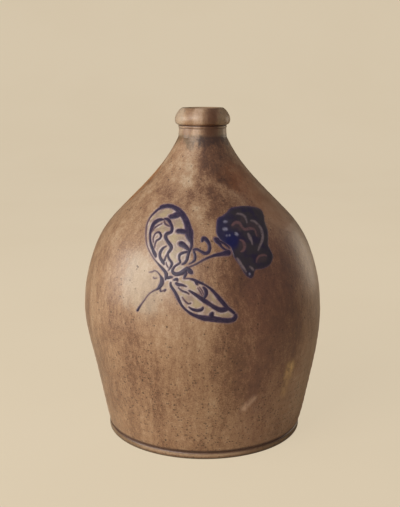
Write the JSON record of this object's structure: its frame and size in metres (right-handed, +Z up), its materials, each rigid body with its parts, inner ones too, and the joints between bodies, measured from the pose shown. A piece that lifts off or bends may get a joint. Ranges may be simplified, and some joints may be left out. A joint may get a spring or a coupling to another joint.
{
  "type": "stoneware jug",
  "caption": "Ovoid thrown stoneware jug with a narrow lipped mouth for a stopper, a strap handle from lip to shoulder and a brushed cobalt leaf and blossom spray.",
  "frame": {"origin": "centre of the base, on the surface that the jug stands on", "axes": "+Z up along the jug's axis of turning; the brushed spray faces -Y, the handle is at +Y, and +X is to the right of someone who faces the spray"},
  "size_m": [0.273, 0.273, 0.37],
  "materials": {
    "salt_glaze": "mottled brown salt glaze with fine iron speckle",
    "bare_clay": "unglazed, dry",
    "handle_glaze": "salt glaze with an orange flash",
    "slip_glaze": "dark brown slip glaze",
    "cobalt_glaze": "brushed cobalt under salt glaze"
  },
  "bodies": {
    "root": {"base_disc": "bare_clay", "foot_band": "salt_glaze", "lower_wall": "salt_glaze", "upper_wall": "salt_glaze", "neck_collar": "salt_glaze", "neck_bead": "salt_glaze", "lip_ring": "salt_glaze", "handle_root": "handle_glaze", "handle_strap": "handle_glaze", "handle_tail": "handle_glaze", "slip_lining": "slip_glaze", "cobalt_upper_leaf": "cobalt_glaze", "cobalt_lower_leaf": "cobalt_glaze", "cobalt_stem": "cobalt_glaze", "cobalt_blossom": "cobalt_glaze", "cobalt_bud": "cobalt_glaze", "cobalt_tendril": "cobalt_glaze", "cobalt_tail_sprig": "cobalt_glaze", "cobalt_handle_wash": "cobalt_glaze"}
  },
  "joints": []
}
